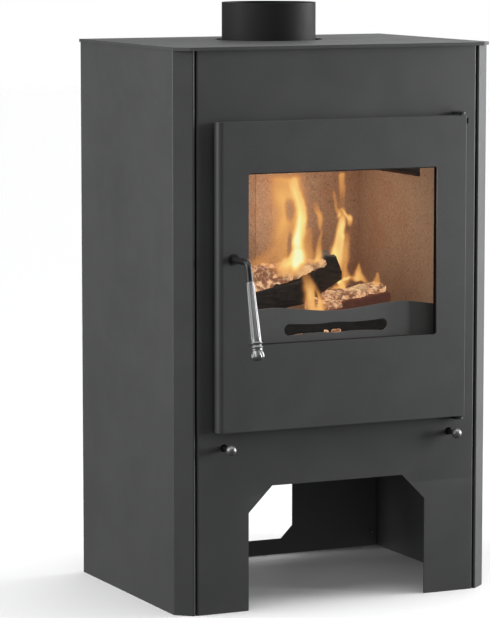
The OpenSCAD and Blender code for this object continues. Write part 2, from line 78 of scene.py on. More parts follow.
class Look:
    """A material being built: its node tree, its shader and the nodes that every look needs."""

    def __init__(self, name, colour, roughness, **values):
        self.material = bpy.data.materials.new(name)
        self.material.use_nodes = True
        self.tree = self.material.node_tree
        self.shader = self.tree.nodes["Principled BSDF"]
        self.shader.inputs["Base Color"].default_value = (*colour, 1.0)
        self.shader.inputs["Roughness"].default_value = roughness
        for key, value in values.items():
            self.shader.inputs[key.replace("_", " ")].default_value = value
        self.place = self.node("ShaderNodeTexCoord").outputs["Object"]

    def node(self, kind, **settings):
        made = self.tree.nodes.new(kind)
        for key, value in settings.items():
            setattr(made, key, value)
        return made

    def link(self, source, target):
        self.tree.links.new(source, target)

    def stretched(self, factors):
        """The place, scaled by a factor along each axis."""
        mapping = self.node("ShaderNodeMapping")
        mapping.inputs["Scale"].default_value = factors
        self.link(self.place, mapping.inputs["Vector"])
        return mapping.outputs["Vector"]

    def stored(self, name):
        """A value stored on the mesh's vertices."""
        return self.node("ShaderNodeAttribute", attribute_name=name).outputs["Fac"]

    def noise(self, size, detail=3.0, rough=0.55, place=None):
        """Noise whose main blobs are about size metres across."""
        texture = self.node("ShaderNodeTexNoise")
        texture.inputs["Scale"].default_value = 1.0 / size
        texture.inputs["Detail"].default_value = detail
        texture.inputs["Roughness"].default_value = rough
        self.link(place or self.place, texture.inputs["Vector"])
        return texture.outputs["Fac"]

    def cells(self, size, output="Distance", feature="F1", place=None):
        """Voronoi cells about size metres across."""
        texture = self.node("ShaderNodeTexVoronoi", feature=feature)
        texture.inputs["Scale"].default_value = 1.0 / size
        self.link(place or self.place, texture.inputs["Vector"])
        return texture.outputs[output]

    def spread(self, value, low, high, at_low, at_high):
        """value stretched so that low becomes at_low and high becomes at_high."""
        node = self.node("ShaderNodeMapRange", clamp=True)
        self.link(value, node.inputs["Value"])
        node.inputs["From Min"].default_value = low
        node.inputs["From Max"].default_value = high
        node.inputs["To Min"].default_value = at_low
        node.inputs["To Max"].default_value = at_high
        return node.outputs["Result"]

    def ramp(self, value, *stops):
        """value turned into a colour by (position, colour) stops."""
        node = self.node("ShaderNodeValToRGB")
        elements = node.color_ramp.elements
        elements.remove(elements[1])
        elements[0].position = stops[0][0]
        elements[0].color = (*stops[0][1], 1.0)
        for position, colour in stops[1:]:
            elements.new(position).color = (*colour, 1.0)
        self.link(value, node.inputs["Fac"])
        return node.outputs["Color"]

    def mix(self, factor, first, second, blend="MIX"):
        """first mixed with second, each a socket or a colour."""
        node = self.node("ShaderNodeMix", data_type="RGBA", blend_type=blend)
        for index, value in ((0, factor), (6, first), (7, second)):
            if isinstance(value, bpy.types.NodeSocket):
                self.link(value, node.inputs[index])
            elif index == 0:
                node.inputs[0].default_value = value
            else:
                node.inputs[index].default_value = (*value, 1.0)
        return node.outputs[2]

    def combine(self, first, second, operation="ADD"):
        """first and second, each a socket or a number, put together by one step of arithmetic."""
        node = self.node("ShaderNodeMath", operation=operation)
        for index, value in enumerate((first, second)):
            if isinstance(value, bpy.types.NodeSocket):
                self.link(value, node.inputs[index])
            else:
                node.inputs[index].default_value = value
        return node.outputs[0]

    def edges(self, radius):
        """1 on edges that a round of this radius would soften, 0 on flat faces."""
        bevel = self.node("ShaderNodeBevel", samples=4)
        bevel.inputs["Radius"].default_value = radius
        geometry = self.node("ShaderNodeNewGeometry")
        dot = self.node("ShaderNodeVectorMath", operation="DOT_PRODUCT")
        self.link(bevel.outputs["Normal"], dot.inputs[0])
        self.link(geometry.outputs["Normal"], dot.inputs[1])
        sharp_edge, flat_face = 0.7, 0.98
        return self.spread(dot.outputs["Value"], sharp_edge, flat_face, 1.0, 0.0)

    def colour(self, socket):
        self.link(socket, self.shader.inputs["Base Color"])

    def roughness(self, socket):
        self.link(socket, self.shader.inputs["Roughness"])

    def bump(self, *layers):
        """Bump from (height socket, depth in metres) layers."""
        normal = None
        for height, depth in layers:
            node = self.node("ShaderNodeBump")
            node.inputs["Strength"].default_value = 1.0
            node.inputs["Distance"].default_value = depth
            self.link(height, node.inputs["Height"])
            if normal is not None:
                self.link(normal, node.inputs["Normal"])
            normal = node.outputs["Normal"]
        self.link(normal, self.shader.inputs["Normal"])


def tint(colour, factor):
    return tuple(c * factor for c in colour)


def grey(level):
    return (level, level, level)


def painted(name, colour, roughness, grain=0.05 * MM, highlight_gain=1.6, **values):
    """Heat-resistant spray paint: fine grain, faint clouds in colour and sheen, and a painted highlight on
    its edges, in patches, at highlight_gain times the paint's colour."""
    look = Look(name, colour, roughness, **values)
    clouds = look.noise(160 * MM, 4.0)
    speckle = look.noise(1.1 * MM, 2.0, 0.7)
    base = look.ramp(clouds, (0.3, tint(colour, 0.93)), (0.7, tint(colour, 1.07)))
    fine = look.ramp(speckle, (0.3, grey(0.86)), (0.7, grey(1.14)))
    base = look.mix(1.0, base, fine, "MULTIPLY")
    patchy = look.spread(look.noise(6 * MM, 3.0), 0.35, 0.65, 0.25, 0.6)
    # Painted highlight: the edges are painted lighter, in patches.
    edge = look.combine(look.edges(0.9 * MM), patchy, "MULTIPLY")
    look.colour(look.mix(edge, base, tint(colour, highlight_gain)))
    sheen = look.noise(50 * MM, 5.0, 0.6)
    look.roughness(look.spread(sheen, 0.3, 0.7, roughness - 0.05, roughness + 0.06))
    look.bump((look.noise(1.4 * MM, 2.0, 0.6), grain), (look.noise(90 * MM, 2.0), 0.4 * MM))
    return look.material


def raw_steel(name, colour, roughness, streak=(1.0, 1.0, 0.05)):
    """Rolled or brushed sheet: long faint streaks, smudges and fine scratches."""
    look = Look(name, colour, roughness, Metallic=1.0)
    lines = look.noise(1.6 * MM, 4.0, 0.7, look.stretched(streak))
    smudge = look.noise(50 * MM, 4.0)
    base = look.ramp(smudge, (0.3, tint(colour, 0.82)), (0.7, tint(colour, 1.12)))
    brushed = look.ramp(lines, (0.3, grey(0.85)), (0.7, grey(1.1)))
    look.colour(look.mix(1.0, base, brushed, "MULTIPLY"))
    look.roughness(look.spread(lines, 0.3, 0.7, roughness - 0.07, roughness + 0.08))
    look.bump((lines, 0.03 * MM))
    return look.material


def zinc_plated():
    """Zinc plated small parts: a faint bloom of pale and yellowish patches."""
    colour = (0.46, 0.46, 0.45)
    look = Look("zinc_plate", colour, 0.34, Metallic=1.0)
    bloom = look.noise(4 * MM, 4.0, 0.6)
    look.colour(look.ramp(bloom, (0.3, grey(0.36)), (0.55, colour), (0.75, (0.55, 0.53, 0.47))))
    look.roughness(look.spread(bloom, 0.3, 0.7, 0.26, 0.44))
    look.bump((look.noise(0.6 * MM, 3.0), 0.02 * MM))
    return look.material


def chromed():
    """Dull chrome with the slightest smear."""
    colour = (0.25, 0.25, 0.255)
    look = Look("dull_chrome", colour, 0.38, Metallic=0.7)
    smear = look.noise(10 * MM, 4.0, 0.6)
    look.colour(look.ramp(smear, (0.3, tint(colour, 0.94)), (0.7, tint(colour, 1.04))))
    look.roughness(look.spread(smear, 0.35, 0.7, 0.35, 0.43))
    return look.material


BRICK_TONES = [
    (0.0, (0.385, 0.228, 0.135)),
    (0.35, (0.425, 0.256, 0.153)),
    (0.75, (0.45, 0.275, 0.165)),
    (1.0, (0.5, 0.315, 0.195)),
]
# Depth, from the middle of the stove, over which a brick is painted paler and cooler towards the door:
# painted daylight from the window.
WINDOW_LIGHT_FRONT, WINDOW_LIGHT_BACK = -0.12, 0.15


def vermiculite(name, shade, ashen=False):
    """Pressed vermiculite board: fine flakes in warm browns, specks and small pits. shade scales its
    colour, which makes lit and shaded copies of the one board: painted light and shade.
    """
    look = Look(name, (0.43, 0.26, 0.155), 0.92, Specular_IOR_Level=0.25)
    tone = look.node("ShaderNodeSeparateColor")
    look.link(look.cells(2.4 * MM, "Color"), tone.inputs["Color"])
    flakes = look.ramp(tone.outputs["Red"], *((place, tint(brown, shade)) for place, brown in BRICK_TONES))
    clouds = look.noise(60 * MM, 4.0)
    warm = look.ramp(clouds, (0.3, (0.97, 0.84, 0.76)), (0.5, grey(1.0)), (0.7, (1.03, 1.06, 1.08)))
    base = look.mix(1.0, flakes, warm, "MULTIPLY")
    # Painted light: towards the door the brick is painted paler and cooler, as daylight through the window.
    if ashen:
        axes = look.node("ShaderNodeSeparateXYZ")
        look.link(look.place, axes.inputs["Vector"])
        depth = look.spread(axes.outputs["Y"], WINDOW_LIGHT_FRONT, WINDOW_LIGHT_BACK, 0.0, 1.0)
        window_light = look.ramp(depth, (0.0, (1.13, 1.26, 1.4)), (0.45, (0.86, 0.9, 0.9)), (1.0, (0.9, 0.9, 0.88)))
        base = look.mix(1.0, base, window_light, "MULTIPLY")
    dark = look.spread(look.noise(3.8 * MM, 2.0, 0.5), 0.61, 0.7, 0.0, 0.5)
    base = look.mix(dark, base, (0.12, 0.07, 0.05))
    pale = look.spread(look.noise(3.7 * MM, 2.0, 0.5), 0.69, 0.74, 0.0, 0.5)
    look.colour(look.mix(pale, base, (0.74, 0.56, 0.4)))
    look.roughness(look.spread(tone.outputs["Green"], 0.0, 1.0, 0.8, 0.98))
    pits = look.spread(look.noise(3.2 * MM, 2.0, 0.5), 0.58, 0.7, 1.0, 0.0)
    look.bump((look.cells(2.4 * MM), 0.15 * MM), (pits, 0.4 * MM), (look.noise(1 * MM, 3.0), 0.1 * MM))
    return look.material


def cast_iron():
    """Sand-cast iron, dark and rough."""
    colour = (0.035, 0.034, 0.033)
    look = Look("cast_iron", colour, 0.75, Metallic=0.3)
    grit = look.noise(2.2 * MM, 4.0, 0.7)
    rust = look.spread(look.noise(30 * MM, 4.0, 0.6), 0.52, 0.75, 0.0, 0.35)
    base = look.ramp(grit, (0.3, tint(colour, 0.7)), (0.7, tint(colour, 1.5)))
    look.colour(look.mix(rust, base, (0.11, 0.055, 0.032)))
    look.roughness(look.spread(grit, 0.3, 0.7, 0.65, 0.9))
    look.bump((grit, 0.4 * MM), (look.noise(12 * MM, 3.0), 0.6 * MM))
    return look.material


ROPE_TONES = [(0.3, (0.16, 0.155, 0.145)), (0.55, (0.3, 0.29, 0.27)), (0.75, (0.46, 0.45, 0.42))]


def rope(name, shade):
    """Braided glass fibre with paler filaments, darker the lower its shade."""
    look = Look(name, (0.3, 0.29, 0.27), 0.95, Sheen_Weight=0.3 * shade)
    strands = look.noise(0.9 * MM, 3.0, 0.7)
    base = look.ramp(strands, *((place, tint(tone, shade)) for place, tone in ROPE_TONES))
    tufts = look.ramp(look.noise(6 * MM, 3.0), (0.3, grey(0.8)), (0.7, grey(1.1)))
    look.colour(look.mix(1.0, base, tufts, "MULTIPLY"))
    look.roughness(look.spread(strands, 0.3, 0.7, 0.85, 1.0))
    look.bump((strands, 0.3 * MM))
    return look.material


# Width of the glass's edge that the door covers, and how far the black band of painted shade, for the gap
# behind the door's sheet, shows inside that cover at the bottom, sides and top.
GLASS_COVER = 10 * MM
EDGE_SHADE_BOTTOM, EDGE_SHADE_SIDE, EDGE_SHADE_TOP = 1.0 * MM, 1.2 * MM, 2.0 * MM
EDGE_SHADE_BLUR = 0.2 * MM


def clear_glass():
    """Clear ceramic glass, faintly warm, with a little sooty bloom and a black band of painted shade at its
    edges.
    """
    look = Look("ceramic_glass", (0.36, 0.34, 0.32), 0.04, IOR=1.5)
    low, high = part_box("door_glass")
    axes = look.node("ShaderNodeSeparateXYZ")
    look.link(look.place, axes.inputs["Vector"])

    def past(value, edge, inner=0.0, outer=1.0):
        return look.spread(value, edge - EDGE_SHADE_BLUR, edge + EDGE_SHADE_BLUR, inner, outer)

    # A black, opaque band along the edges: painted shade of the gap behind the door's sheet.
    across = look.combine(axes.outputs["X"], 0.0, "ABSOLUTE")
    sides = past(across, high.x - GLASS_COVER - EDGE_SHADE_SIDE)
    above = past(axes.outputs["Z"], high.z - GLASS_COVER - EDGE_SHADE_TOP)
    below = past(axes.outputs["Z"], low.z + GLASS_COVER + EDGE_SHADE_BOTTOM, 1.0, 0.0)
    edge_shade = look.combine(look.combine(sides, above, "MAXIMUM"), below, "MAXIMUM")
    bloom = look.noise(120 * MM, 4.0, 0.6)
    clear = look.ramp(bloom, (0.35, (0.3, 0.29, 0.28)), (0.7, (0.46, 0.43, 0.4)))
    look.colour(look.mix(edge_shade, clear, grey(0.012)))
    smears = look.spread(bloom, 0.3, 0.7, 0.02, 0.07)
    look.roughness(look.combine(smears, look.spread(edge_shade, 0.0, 1.0, 0.0, 0.3)))
    look.link(look.spread(edge_shade, 0.0, 1.0, 0.03, 1.0), look.shader.inputs["Alpha"])
    return look.material


PAINT = (0.094, 0.095, 0.097)
LOOKS = {
    "casing_paint": painted("casing_paint", PAINT, 0.46, highlight_gain=1.15, Metallic=0.25),
    "bare_steel": painted("black_steel_sheet", (0.022, 0.022, 0.023), 0.6, highlight_gain=2.2),
    # firebrick is the vermiculite painted darker and back_brick painted brighter: painted shade and painted
    # firelight.
    "firebrick": vermiculite("vermiculite", 0.95),
    "back_brick": vermiculite("vermiculite_pale", 1.14),
    "side_brick": vermiculite("vermiculite_ashen", 1.0, ashen=True),
    "cast_iron": cast_iron(),
    "collar_paint": painted("collar_paint", (0.026, 0.026, 0.027), 0.55, Specular_IOR_Level=0.14),
    "guard_paint": painted("guard_paint", (0.128, 0.131, 0.133), 0.5, Metallic=0.2),
    "pan_steel": raw_steel("pan_steel", (0.3, 0.3, 0.31), 0.42),
    "black_steel": painted("black_rod", (0.016, 0.016, 0.017), 0.38, 0.02 * MM, 2.5),
    "chrome": chromed(),
    "zinc": zinc_plated(),
    "glass": clear_glass(),
    "rope": rope("glass_fibre_rope", 1.0),
    "black_rope": rope("graphite_rope", 0.06),
}

# Pieces whose finish differs from the rest of their slot. The hinge pins, lugs and blocks are black steel,
# dark also as painted shade round the hinge; the right back and right side bricks wear copies of the
# vermiculite with painted light.
OWN_LOOKS = {
    "flue_collar": "collar_paint",
    "log_guard": "guard_paint",
    "hinge_pins": "black_steel",
    "hinge_lugs": "bare_steel",
    "hinge_blocks": "black_steel",
    "glass_gasket": "black_rope",
    "right_back_brick": "back_brick",
    "right_side_brick": "side_brick",
}


def dress(thing, slot):
    """Gives a mesh object one look only."""
    thing.data.materials.clear()
    thing.data.materials.append(LOOKS[slot])


def slot_of_nodes():
    """The record's material slot of every CAD node, read from the material the model came with."""
    slots = {material["slot"] for material in frame["record"]["materials"]}
    found = {}
    for name, thing in nodes.items():
        label = thing.data.materials[0].name.split(".")[0]
        found[name] = label if label in slots else "bare_steel"
    return found


# ---------- Mesh helpers ----------

FRONT_GAP = 2 * MM
FRONT_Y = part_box("front_panel")[0].y - FRONT_GAP


def at(x, y, z):
    """A place given in millimetres, with y counted back from just in front of the front panel."""
    return Vector((x * MM, FRONT_Y + y * MM, z * MM))


def link_mesh(name, verts, faces):
    mesh = bpy.data.meshes.new(name)
    mesh.from_pydata([tuple(v) for v in verts], [], faces)
    mesh.update()
    mesh.polygons.foreach_set("use_smooth", [True] * len(mesh.polygons))
    thing = bpy.data.objects.new(name, mesh)
    bpy.context.scene.collection.objects.link(thing)
    return thing


def ring_faces(rings, around, closed=False):
    """Quads between successive rings of vertices, each with the same number around."""
    faces = []
    last = rings if closed else rings - 1
    for i in range(last):
        low = i * around
        high = ((i + 1) % rings) * around
        for j in range(around):
            k = (j + 1) % around
            faces.append((low + j, low + k, high + k, high + j))
    return faces


def capped_faces(rings, around):
    """Quads between the rings, with the first and last ring closed by a face each."""
    first = tuple(range(around))
    last = tuple(range((rings - 1) * around, rings * around))
    return ring_faces(rings, around) + [first[::-1], last]


def turned(name, start, axis, stations, radius, around):
    """A closed turned piece: radius(distance, angle) in metres at each station along the axis."""
    axis = Vector(axis).normalized()
    side = axis.orthogonal().normalized()
    across = axis.cross(side)
    verts = []
    for s in stations:
        for j in range(around):
            angle = 2 * math.pi * j / around
            r = radius(s, angle)
            out = side * math.cos(angle) + across * math.sin(angle)
            verts.append(Vector(start) + axis * s + out * r)
    return link_mesh(name, verts, capped_faces(len(stations), around))


def piece(thing, body, slot, stood_for):
    """Dresses a new piece, lets it ride on its body and hides the CAD node it stands for."""
    dress(thing, slot)
    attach(thing, body)
    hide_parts(stood_for)


def stepped(low, high, count):
    return [low + (high - low) * i / (count - 1) for i in range(count)]


# ---------- Handle ----------

# The grip hangs from the rod's bend and leans outwards. Distances run from the grip's top.
LEAN = math.radians(14)
HANG = Vector((0, -math.sin(LEAN), -math.cos(LEAN)))
BEND = at(-187, -68, 548)
GRIP_START = 29 * MM
GRIP_LENGTH = 104 * MM
GRIP_TOP_RADIUS = 5.7 * MM
GRIP_SWELL = 2.3 * MM
TAPER_END = 92 * MM
TOP_ROUNDING, TOP_ROUNDING_LENGTH = 0.9 * MM, 1.2 * MM

FLUTES = 14
FLUTE_DEPTH = 0.5 * MM
FLUTE_RISE, FLUTE_FALL = 7 * MM, 5 * MM
FLUTE_END = 90 * MM

BEAD_PLACES = (92.5 * MM, 99 * MM)
BEAD_HEIGHT = 1.25 * MM
NECK_PLACE, NECK_HALF, NECK_DEPTH = 95.8 * MM, 1.0 * MM, 0.6 * MM

# The end cap widens over CAP_WIDEST, then rounds off over CAP_ROUND and stops just short of a point.
CAP_LENGTH = 14.97 * MM
CAP_WIDEST = 9 * MM
CAP_TOP_RADIUS, CAP_RADIUS, CAP_TIP_RADIUS = 7.6 * MM, 10 * MM, 0.3 * MM
CAP_ROUND = 6 * MM
CAP_LOBES = 11
LOBE_TWIST = 260
LOBE_DEPTH = 0.9 * MM
LOBE_SPAN = 14.5 * MM


def bead_radius(s, centre, base):
    """Radius of a rounded ring that stands on a base radius."""
    off = (s - centre) / BEAD_HEIGHT
    return base + BEAD_HEIGHT * math.sqrt(max(0.0, 1 - off * off))


def grip_radius(s, angle):
    """The grip: a fluted taper, then two beads with a neck between them."""
    body = GRIP_TOP_RADIUS + GRIP_SWELL * min(s / TAPER_END, 1.0)
    fade = min(1.0, s / FLUTE_RISE) * min(1.0, max(0.0, (FLUTE_END - s) / FLUTE_FALL))
    crest = abs(math.cos(angle * FLUTES / 2))
    r = body - FLUTE_DEPTH * fade * (1 - crest)
    r = r - TOP_ROUNDING * max(0.0, 1 - s / TOP_ROUNDING_LENGTH)
    for centre in BEAD_PLACES:
        if abs(s - centre) < BEAD_HEIGHT:
            r = max(r, bead_radius(s, centre, body))
    if abs(s - NECK_PLACE) < NECK_HALF:
        r = body - NECK_DEPTH
    return r


def cap_radius(s, angle):
    """The end cap: it widens, rounds off to its tip and carries twisted lobes."""
    if s < CAP_WIDEST:
        r = CAP_TOP_RADIUS + (CAP_RADIUS - CAP_TOP_RADIUS) * math.sin(s / CAP_WIDEST * math.pi / 2)
    else:
        t = (s - CAP_WIDEST) / CAP_ROUND
        r = max(CAP_TIP_RADIUS, CAP_RADIUS * math.sqrt(max(0.0, 1 - t * t)))
    lobes = 0.5 + 0.5 * math.cos(angle * CAP_LOBES + s * LOBE_TWIST)
    fade = math.sin(min(1.0, s / LOBE_SPAN) * math.pi)
    return r - LOBE_DEPTH * fade * (1 - lobes)


def make_handle():
    grip_top = BEND + HANG * GRIP_START
    grip = turned("fluted_grip", grip_top, HANG, stepped(0, GRIP_LENGTH, 180), grip_radius, 140)
    piece(grip, "handle", "chrome", "handle_grip")
    cap_top = grip_top + HANG * GRIP_LENGTH
    cap = turned("grip_finial", cap_top, HANG, stepped(0, CAP_LENGTH, 36), cap_radius, 96)
    piece(cap, "handle", "chrome", "grip_cap")


# ---------- Door seal ----------

ROPE_WIDTH = 10 * MM
ROPE_CORNER = 9 * MM
ROPE_STEP = 1.7 * MM
ROPE_AROUND = 16
# Share of its channel that the rope fills, depth and turn per step of its weave, and how far its section
# goes from round towards square.
ROPE_SQUEEZE = 0.93
WEAVE_DEPTH = 0.07
WEAVE_TURN = 1.054
SQUARENESS = 0.35


def rounded_loop(half, low, high, corner, step):
    """Points and outward directions round a rectangle with rounded corners, in the door's plane."""
    points = []
    corners = [(half, high, 0), (-half, high, 90), (-half, low, 180), (half, low, 270)]
    for cx, cz, first in corners:
        inner_x = cx - math.copysign(corner, cx)
        inner_z = cz - corner if cz == high else cz + corner
        arc = max(4, round(corner * math.pi / 2 / step))
        for i in range(arc + 1):
            angle = math.radians(first + 90 * i / arc)
            out = (math.cos(angle), math.sin(angle))
            points.append(((inner_x + corner * out[0], inner_z + corner * out[1]), out))
    path = []
    for (here, out), (there, _) in zip(points, points[1:] + points[:1]):
        count = max(1, round(math.dist(here, there) / step))
        for i in range(count):
            t = i / count
            place = (here[0] + (there[0] - here[0]) * t, here[1] + (there[1] - here[1]) * t)
            path.append((place, out))
    return path


def make_rope():
    low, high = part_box("rope_seal")
    inset = ROPE_WIDTH / 2
    deep = (high.y - low.y) / 2
    centre_y = (high.y + low.y) / 2
    path = rounded_loop(high.x - inset, low.z + inset, high.z - inset, ROPE_CORNER, ROPE_STEP)
    verts = []
    for i, ((x, z), out) in enumerate(path):
        run = i * WEAVE_TURN
        for j in range(ROPE_AROUND):
            angle = 2 * math.pi * j / ROPE_AROUND
            weave = max(math.cos(2 * angle + run), math.cos(2 * angle - run))
            swell = 1 - WEAVE_DEPTH + WEAVE_DEPTH * weave
            flat = 1 / max(abs(math.cos(angle)), abs(math.sin(angle)))
            shape = (1 + SQUARENESS * (flat - 1)) * ROPE_SQUEEZE * swell
            side = math.cos(angle) * inset * shape
            depth = math.sin(angle) * deep * shape
            verts.append((x + out[0] * side, centre_y + depth, z + out[1] * side))
    rope_piece = link_mesh("braided_rope", verts, ring_faces(len(path), ROPE_AROUND, closed=True))
    piece(rope_piece, "door", "rope", "rope_seal")


# ---------- Fire ----------

# Places along the crusts where flames stand: x, z, reach and strength.
HOT_SPOTS = [
    (-36, 512, 14, 0.9),
    (-8, 514, 18, 1.0),
    (26, 521, 12, 0.7),
    (74, 484, 12, 0.9),
    (96, 484, 12, 0.7),
    (120, 482, 9, 0.6),
    (-22, 450, 12, 0.6),
]


def hot_share(place):
    """How strongly the flames heat a crust at this place, from 0 to 1."""
    x, z = place.x / MM, place.z / MM
    total = 0.0
    for spot_x, spot_z, reach, strength in HOT_SPOTS:
        off = ((x - spot_x) ** 2 + (z - spot_z) ** 2) / reach ** 2
        total += strength * math.exp(-off)
    return min(1.0, total)


def ember_look():
    """Glowing crust of small coals: pale rims, peach to brown bodies, hottest under the flames."""
    look = Look("glowing_crust", (0.2, 0.1, 0.06), 0.9)
    mottle = look.spread(look.noise(5 * MM, 3.0), 0.3, 0.7, -0.35, 0.35)
    tone = look.combine(look.stored("coal_tone"), mottle)
    body = look.ramp(
        tone,
        (0.0, (0.26, 0.1, 0.05)),
        (0.25, (0.58, 0.27, 0.135)),
        (0.55, (0.84, 0.43, 0.21)),
        (1.0, (1.0, 0.6, 0.32)),
    )
    frayed = look.spread(look.noise(4 * MM, 2.0), 0.3, 0.7, -0.4, 0.2)
    rim = look.combine(look.stored("coal_rim"), frayed)
    warm = look.mix(look.spread(rim, 0.5, 1.0, 0.0, 0.55), body, (1.0, 0.66, 0.36))
    hot = look.spread(look.stored("coal_hot"), 0.3, 1.0, 0.0, 0.8)
    look.link(look.mix(hot, warm, (1.0, 0.68, 0.32)), look.shader.inputs["Emission Color"])
    look.shader.inputs["Emission Strength"].default_value = 0.85
    look.colour(look.ramp(tone, (0.2, (0.08, 0.045, 0.03)), (0.8, (0.2, 0.12, 0.08))))
    look.bump((look.noise(3 * MM, 3.0), 1.2 * MM))
    return look.material


def charred(name, dark, middle, pale, glow=None):
    """Charred wood: long grain in three tones, with square cracks, and where a glow is given, an even glow
    painted on as light falling on it.
    """
    look = Look(name, middle, 0.85, Specular_IOR_Level=0.3)
    grain = look.noise(5 * MM, 4.0, 0.6, look.stretched((0.15, 1.0, 1.0)))
    cracks = look.cells(14 * MM, "Distance", "DISTANCE_TO_EDGE", look.stretched((0.6, 1.0, 1.0)))
    look.colour(look.ramp(grain, (0.3, dark), (0.55, middle), (0.78, pale)))
    # Painted light: an even glow stands in for light falling on the wood.
    if glow:
        look.shader.inputs["Emission Color"].default_value = (*glow, 1.0)
        look.shader.inputs["Emission Strength"].default_value = 0.2
    look.bump((cracks, 3 * MM), (grain, 2 * MM))
    return look.material


def flame_look():
    """Flame: the strength stored on its mesh sets both its colour and how solid it looks."""
    look = Look("flame", (0, 0, 0), 1.0)
    strength = look.stored("flame_strength")
    colour = look.ramp(
        strength,
        (0.0, (0.8, 0.28, 0.07)),
        (0.3, (0.88, 0.38, 0.1)),
        (0.5, (0.95, 0.47, 0.13)),
        (0.7, (0.99, 0.63, 0.22)),
        (0.85, (1.0, 0.84, 0.27)),
        (1.0, (1.0, 1.0, 0.6)),
    )
    light = look.node("ShaderNodeEmission")
    look.link(colour, light.inputs["Color"])
    clear = look.node("ShaderNodeBsdfTransparent")
    mix = look.node("ShaderNodeMixShader")
    look.link(look.spread(strength, 0.0, 0.6, 0.0, 0.95), mix.inputs[0])
    look.link(clear.outputs[0], mix.inputs[1])
    look.link(light.outputs[0], mix.inputs[2])
    look.link(mix.outputs[0], look.tree.nodes["Material Output"].inputs["Surface"])
    return look.material


def store(thing, name, values):
    layer = thing.data.attributes.new(name, "FLOAT", "POINT")
    layer.data.foreach_set("value", values)


def spline(points, t):
    """A point on a smooth curve through the given tuples, t from 0 to 1."""
    span = (len(points) - 1) * t
    i = min(int(span), len(points) - 2)
    u = span - i
    near = (points[max(0, min(len(points) - 1, i + k))] for k in (-1, 0, 1, 2))
    place = []
    for a, b, c, d in zip(*near):
        square = 2 * a - 5 * b + 4 * c - d
        cube = 3 * b - a - 3 * c + d
        place.append(0.5 * (2 * b + (c - a) * u + square * u * u + cube * u ** 3))
    return place


# Share of a tongue's height over which it fades out past its root and its tip, how sharply it ends
# sideways, and how empty and how sharp a gap is.
TONGUE_FADE = 0.12
TONGUE_EDGE = 0.9
GAP_EMPTY, GAP_EDGE = 0.9, 0.8


def tongue_share(x, z, points):
    """Strength here of a soft tongue through (x, z, half width, strength) points, root first."""
    low, high = points[0][1], points[-1][1]
    t = (z - low) / (high - low)
    inside = min(1.0, max(0.0, t))
    past = abs(t - inside) / TONGUE_FADE
    if past > 1:
        return 0.0
    spine, _, half, strength = spline(points, inside)
    off = (x - spine) / max(half, 0.5)
    return max(0.0, strength) * math.exp(-off ** 4 * TONGUE_EDGE) * (1 - past) ** 2


def gap_share(x, z, gaps):
    """Share of the flame that gaps of (x, z, half width, half height) leave here: little in one, 1 far
    from all."""
    left = 1.0
    for gap_x, gap_z, wide, high in gaps:
        off = ((x - gap_x) / wide) ** 2 + ((z - gap_z) / high) ** 2
        left *= 1 - GAP_EMPTY * math.exp(-off * off * GAP_EDGE)
    return left


def flame_strength(x, z, tongues, gaps, seed):
    """Strength of a whole flame here, its tongues swaying and flickering a little."""
    sway = 2.0 * noise.noise(Vector((x * 0.03, z * 0.045, seed)))
    sway += 1.2 * noise.noise(Vector((x * 0.08, z * 0.11, seed + 5)))
    lift = 5 * noise.noise(Vector((x * 0.09, z * 0.03, seed + 9)))
    flicker = 1 + 0.25 * noise.noise(Vector((x * 0.06, z * 0.03, seed + 13)))
    total = sum(tongue_share(x + sway, z + lift, tongue) for tongue in tongues)
    return total * gap_share(x + sway, z + lift, gaps) * flicker


# A flame's mesh in millimetres: its grid step, and the margins below its lowest and above its highest
# point. Parts fainter than FAINTEST are cut away.
FLAME_STEP = 1.5
FLAME_BELOW, FLAME_ABOVE = 10, 14
FLAME_WAVE = 4
FAINTEST = 0.015


def make_flame(name, depth, tongues, gaps, look, seed):
    """Tongues that melt into each other, on one gently waved sheet that ends where they fade out."""
    places = [point for tongue in tongues for point in tongue]
    left = min(x - 2 * half for x, z, half, strength in places)
    right = max(x + 2 * half for x, z, half, strength in places)
    low = min(z for x, z, half, strength in places) - FLAME_BELOW
    high = max(z for x, z, half, strength in places) + FLAME_ABOVE
    across = round((right - left) / FLAME_STEP)
    up = round((high - low) / FLAME_STEP)
    strengths = []
    verts = []
    for i in range(up):
        z = low + FLAME_STEP * i
        for j in range(across):
            x = left + FLAME_STEP * j
            strengths.append(flame_strength(x, z, tongues, gaps, seed))
            wave = FLAME_WAVE * (math.sin(x * 0.06 + seed) + math.sin(z * 0.04))
            verts.append(at(x, depth + wave, z))
    faces = []
    for i in range(up - 1):
        for j in range(across - 1):
            a = i * across + j
            corners = (a, a + 1, a + across + 1, a + across)
            if max(strengths[k] for k in corners) > FAINTEST:
                faces.append(corners)
    used = sorted({k for corners in faces for k in corners})
    place_of = {k: n for n, k in enumerate(used)}
    faces = [tuple(place_of[k] for k in corners) for corners in faces]
    flame = link_mesh(name, [verts[k] for k in used], faces)
    store(flame, "flame_strength", [strengths[k] for k in used])
    flame.data.materials.append(look)
    flame.visible_shadow = False
    flame.visible_diffuse = False


def lump(place, size, seed):
    """The coal here: how far inside it this place lies, from 0 at a crack to 1, and the coal's tone."""
    near, centres = noise.voronoi(place / (size * MM) + Vector((seed, seed * 0.7, 0)))
    inside = min(1.0, (near[1] - near[0]) * 1.8)
    return inside, noise.cell(centres[0] * 7.3)


# A log's mesh: points around it, distance between its rings and their least number.
LOG_AROUND = 72
LOG_STEP = 1.8 * MM
FEWEST_RINGS = 12
# Each end of a log rounds off over 1 / END_ROUNDING of its length and loses END_SHRINK of its size.
END_ROUNDING = 14
END_SHRINK = 0.35
# Swells of a log's surface per metre, and how far a coal stands out as a share of its size.
SWELLS = 38
COAL_HEIGHT = 0.42


